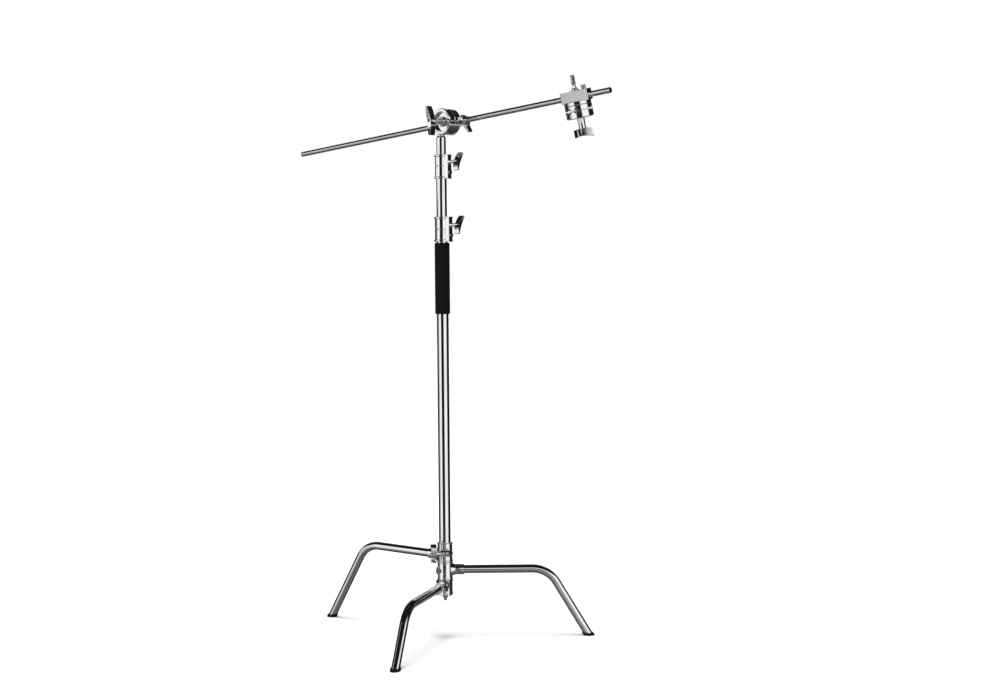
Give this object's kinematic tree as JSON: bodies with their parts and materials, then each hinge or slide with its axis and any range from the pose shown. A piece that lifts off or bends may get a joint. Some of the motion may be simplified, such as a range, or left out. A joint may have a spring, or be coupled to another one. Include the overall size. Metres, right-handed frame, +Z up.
{
  "type": "century stand with grip arm",
  "caption": "Studio stand with nesting bent legs, two telescoping risers locked by T-handles, a foam grip and a long grip arm carried and ended by two clamping grip heads.",
  "frame": {"origin": "on the column's axis at floor level, which is the middle of the box's base", "axes": "+Z up the column; the middle leg points 10 degrees from +X towards +Y; -Y is roughly the front"},
  "size_m": [1.0705, 0.8176, 1.6252],
  "materials": {
    "chromed_tube": "polished chrome plate on round steel tube",
    "polished_casting": "polished and lacquered casting, with a bright machined face",
    "polished_handle_casting": "polished casting, worn bright on its ends",
    "bright_steel": "zinc plated or turned bright steel",
    "spring_steel": "plain spring wire",
    "pad_brass": "plain turned brass",
    "white_nylon": "moulded nylon",
    "black_foam": "closed cell foam sleeve, fine matte skin",
    "black_rubber": "moulded matte rubber"
  },
  "bodies": {
    "column": {"main_column": "chromed_tube", "column_end_plug": "bright_steel", "base_washer": "bright_steel", "base_cap_nut": "bright_steel", "foam_grip": "black_foam", "lower_collar": "polished_casting", "lower_collar_liner": "white_nylon", "lower_collar_brake_pad": "pad_brass", "lower_collar_set_screw": "bright_steel", "bottom_leg_hub": "polished_casting", "bottom_leg_tube": "chromed_tube", "bottom_leg_foot": "black_rubber", "bottom_leg_bolt": "bright_steel"},
    "lower_collar_handle": {"lower_collar_t_handle": "polished_handle_casting"},
    "middle_leg": {"middle_leg_hub": "polished_casting", "middle_leg_tube": "chromed_tube", "middle_leg_foot": "black_rubber", "middle_leg_bolt": "bright_steel", "middle_hub_stop_screw": "bright_steel"},
    "sliding_bush": {"top_hub_liner": "white_nylon"},
    "top_leg": {"top_leg_hub": "polished_casting", "top_leg_tube": "chromed_tube", "top_leg_foot": "black_rubber", "top_leg_bolt": "bright_steel", "top_hub_clamp_nut": "bright_steel"},
    "clamp_handle": {"top_hub_t_handle": "polished_handle_casting"},
    "riser_1": {"riser_1_tube": "chromed_tube", "riser_1_guide": "white_nylon", "upper_collar": "polished_casting", "upper_collar_liner": "white_nylon", "upper_collar_brake_pad": "pad_brass", "upper_collar_set_screw": "bright_steel"},
    "upper_collar_handle": {"upper_collar_t_handle": "polished_handle_casting"},
    "riser_2": {"riser_2_tube": "chromed_tube", "riser_2_guide": "white_nylon", "top_spigot": "bright_steel"},
    "head_1_jaws": {"head_1_front_jaw": "polished_casting", "head_1_middle_jaw": "polished_casting", "head_1_jaw_spring": "spring_steel"},
    "head_1_base": {"head_1_body": "polished_casting", "head_1_rod_pad": "pad_brass", "head_1_lock_screw": "bright_steel"},
    "head_1_large_handle": {"head_1_large_t_handle": "polished_handle_casting", "head_1_main_bolt": "bright_steel", "head_1_thrust_washer": "bright_steel"},
    "head_1_small_handle": {"head_1_small_t_handle": "polished_handle_casting"},
    "arm": {"grip_arm": "chromed_tube", "arm_end_plugs": "bright_steel"},
    "head_2_base": {"head_2_body": "polished_casting", "head_2_rod_pad": "pad_brass", "head_2_lock_screw": "bright_steel"},
    "head_2_jaws": {"head_2_front_jaw": "polished_casting", "head_2_middle_jaw": "polished_casting", "head_2_jaw_spring": "spring_steel"},
    "head_2_large_handle": {"head_2_large_t_handle": "polished_handle_casting", "head_2_main_bolt": "bright_steel", "head_2_thrust_washer": "bright_steel"},
    "head_2_small_handle": {"head_2_small_t_handle": "polished_handle_casting"}
  },
  "joints": [
    {"name": "lower_collar_handle_turn", "type": "hinge", "parent": "column", "child": "lower_collar_handle", "pos_m": [0.02878, -0.01281, 1.223], "axis": [0.9135, -0.4067, 0], "continuous": true},
    {"name": "middle_leg_swing", "type": "hinge", "parent": "column", "child": "middle_leg", "pos_m": [0, 0, 0.1993], "axis": [0, 0, 1], "range_deg": [-101, 0]},
    {"name": "bush_slide", "type": "slide", "parent": "column", "child": "sliding_bush", "axis": [0, 0, 1], "range_m": [0, 0.3]},
    {"name": "top_leg_swing", "type": "hinge", "parent": "sliding_bush", "child": "top_leg", "pos_m": [0, 0, 0.2551], "axis": [0, 0, 1], "range_deg": [0, 99]},
    {"name": "clamp_handle_turn", "type": "hinge", "parent": "top_leg", "child": "clamp_handle", "pos_m": [-0.00369, -0.03554, 0.2561], "axis": [-0.9781, -0.2079, 0], "continuous": true},
    {"name": "riser_1_slide", "type": "slide", "parent": "column", "child": "riser_1", "axis": [0, 0, 1], "range_m": [-0.11, 0.82]},
    {"name": "upper_collar_handle_turn", "type": "hinge", "parent": "riser_1", "child": "upper_collar_handle", "pos_m": [0.02695, -0.012, 1.407], "axis": [0.9135, -0.4067, 0], "continuous": true},
    {"name": "riser_2_slide", "type": "slide", "parent": "riser_1", "child": "riser_2", "axis": [0, 0, 1], "range_m": [-0.035, 0.88]},
    {"name": "head_1_pan", "type": "hinge", "parent": "riser_2", "child": "head_1_jaws", "pos_m": [0, 0, 1.52252], "axis": [0, 0, 1], "continuous": true},
    {"name": "head_1_tilt", "type": "hinge", "parent": "head_1_jaws", "child": "head_1_base", "pos_m": [0.01668, -0.01104, 1.52252], "axis": [-0.5519, -0.8339, 0], "range_deg": [-33, 80]},
    {"name": "head_1_large_handle_turn", "type": "hinge", "parent": "head_1_base", "child": "head_1_large_handle", "pos_m": [0.00012, -0.03605, 1.52252], "axis": [-0.5519, -0.8339, 0], "continuous": true},
    {"name": "head_1_small_handle_turn", "type": "hinge", "parent": "head_1_base", "child": "head_1_small_handle", "pos_m": [0.05807, 0.0515, 1.52252], "axis": [0.5519, 0.8339, 0], "continuous": true},
    {"name": "arm_slide", "type": "slide", "parent": "head_1_base", "child": "arm", "axis": [0.8307, -0.5498, 0.0872], "range_m": [-0.35, 0.62]},
    {"name": "head_2_roll", "type": "hinge", "parent": "arm", "child": "head_2_base", "pos_m": [0.42521, -0.23851, 1.56331], "axis": [0.8307, -0.5498, 0.0872], "continuous": true},
    {"name": "head_2_jaw_turn", "type": "hinge", "parent": "head_2_base", "child": "head_2_jaws", "pos_m": [0.43186, -0.23399, 1.52842], "axis": [0.1858, 0.1263, -0.9744], "continuous": true},
    {"name": "head_2_large_handle_turn", "type": "hinge", "parent": "head_2_base", "child": "head_2_large_handle", "pos_m": [0.43744, -0.2302, 1.49919], "axis": [0.1858, 0.1263, -0.9744], "continuous": true},
    {"name": "head_2_small_handle_turn", "type": "hinge", "parent": "head_2_base", "child": "head_2_small_handle", "pos_m": [0.41792, -0.24346, 1.6015], "axis": [-0.1858, -0.1263, 0.9744], "continuous": true}
  ]
}
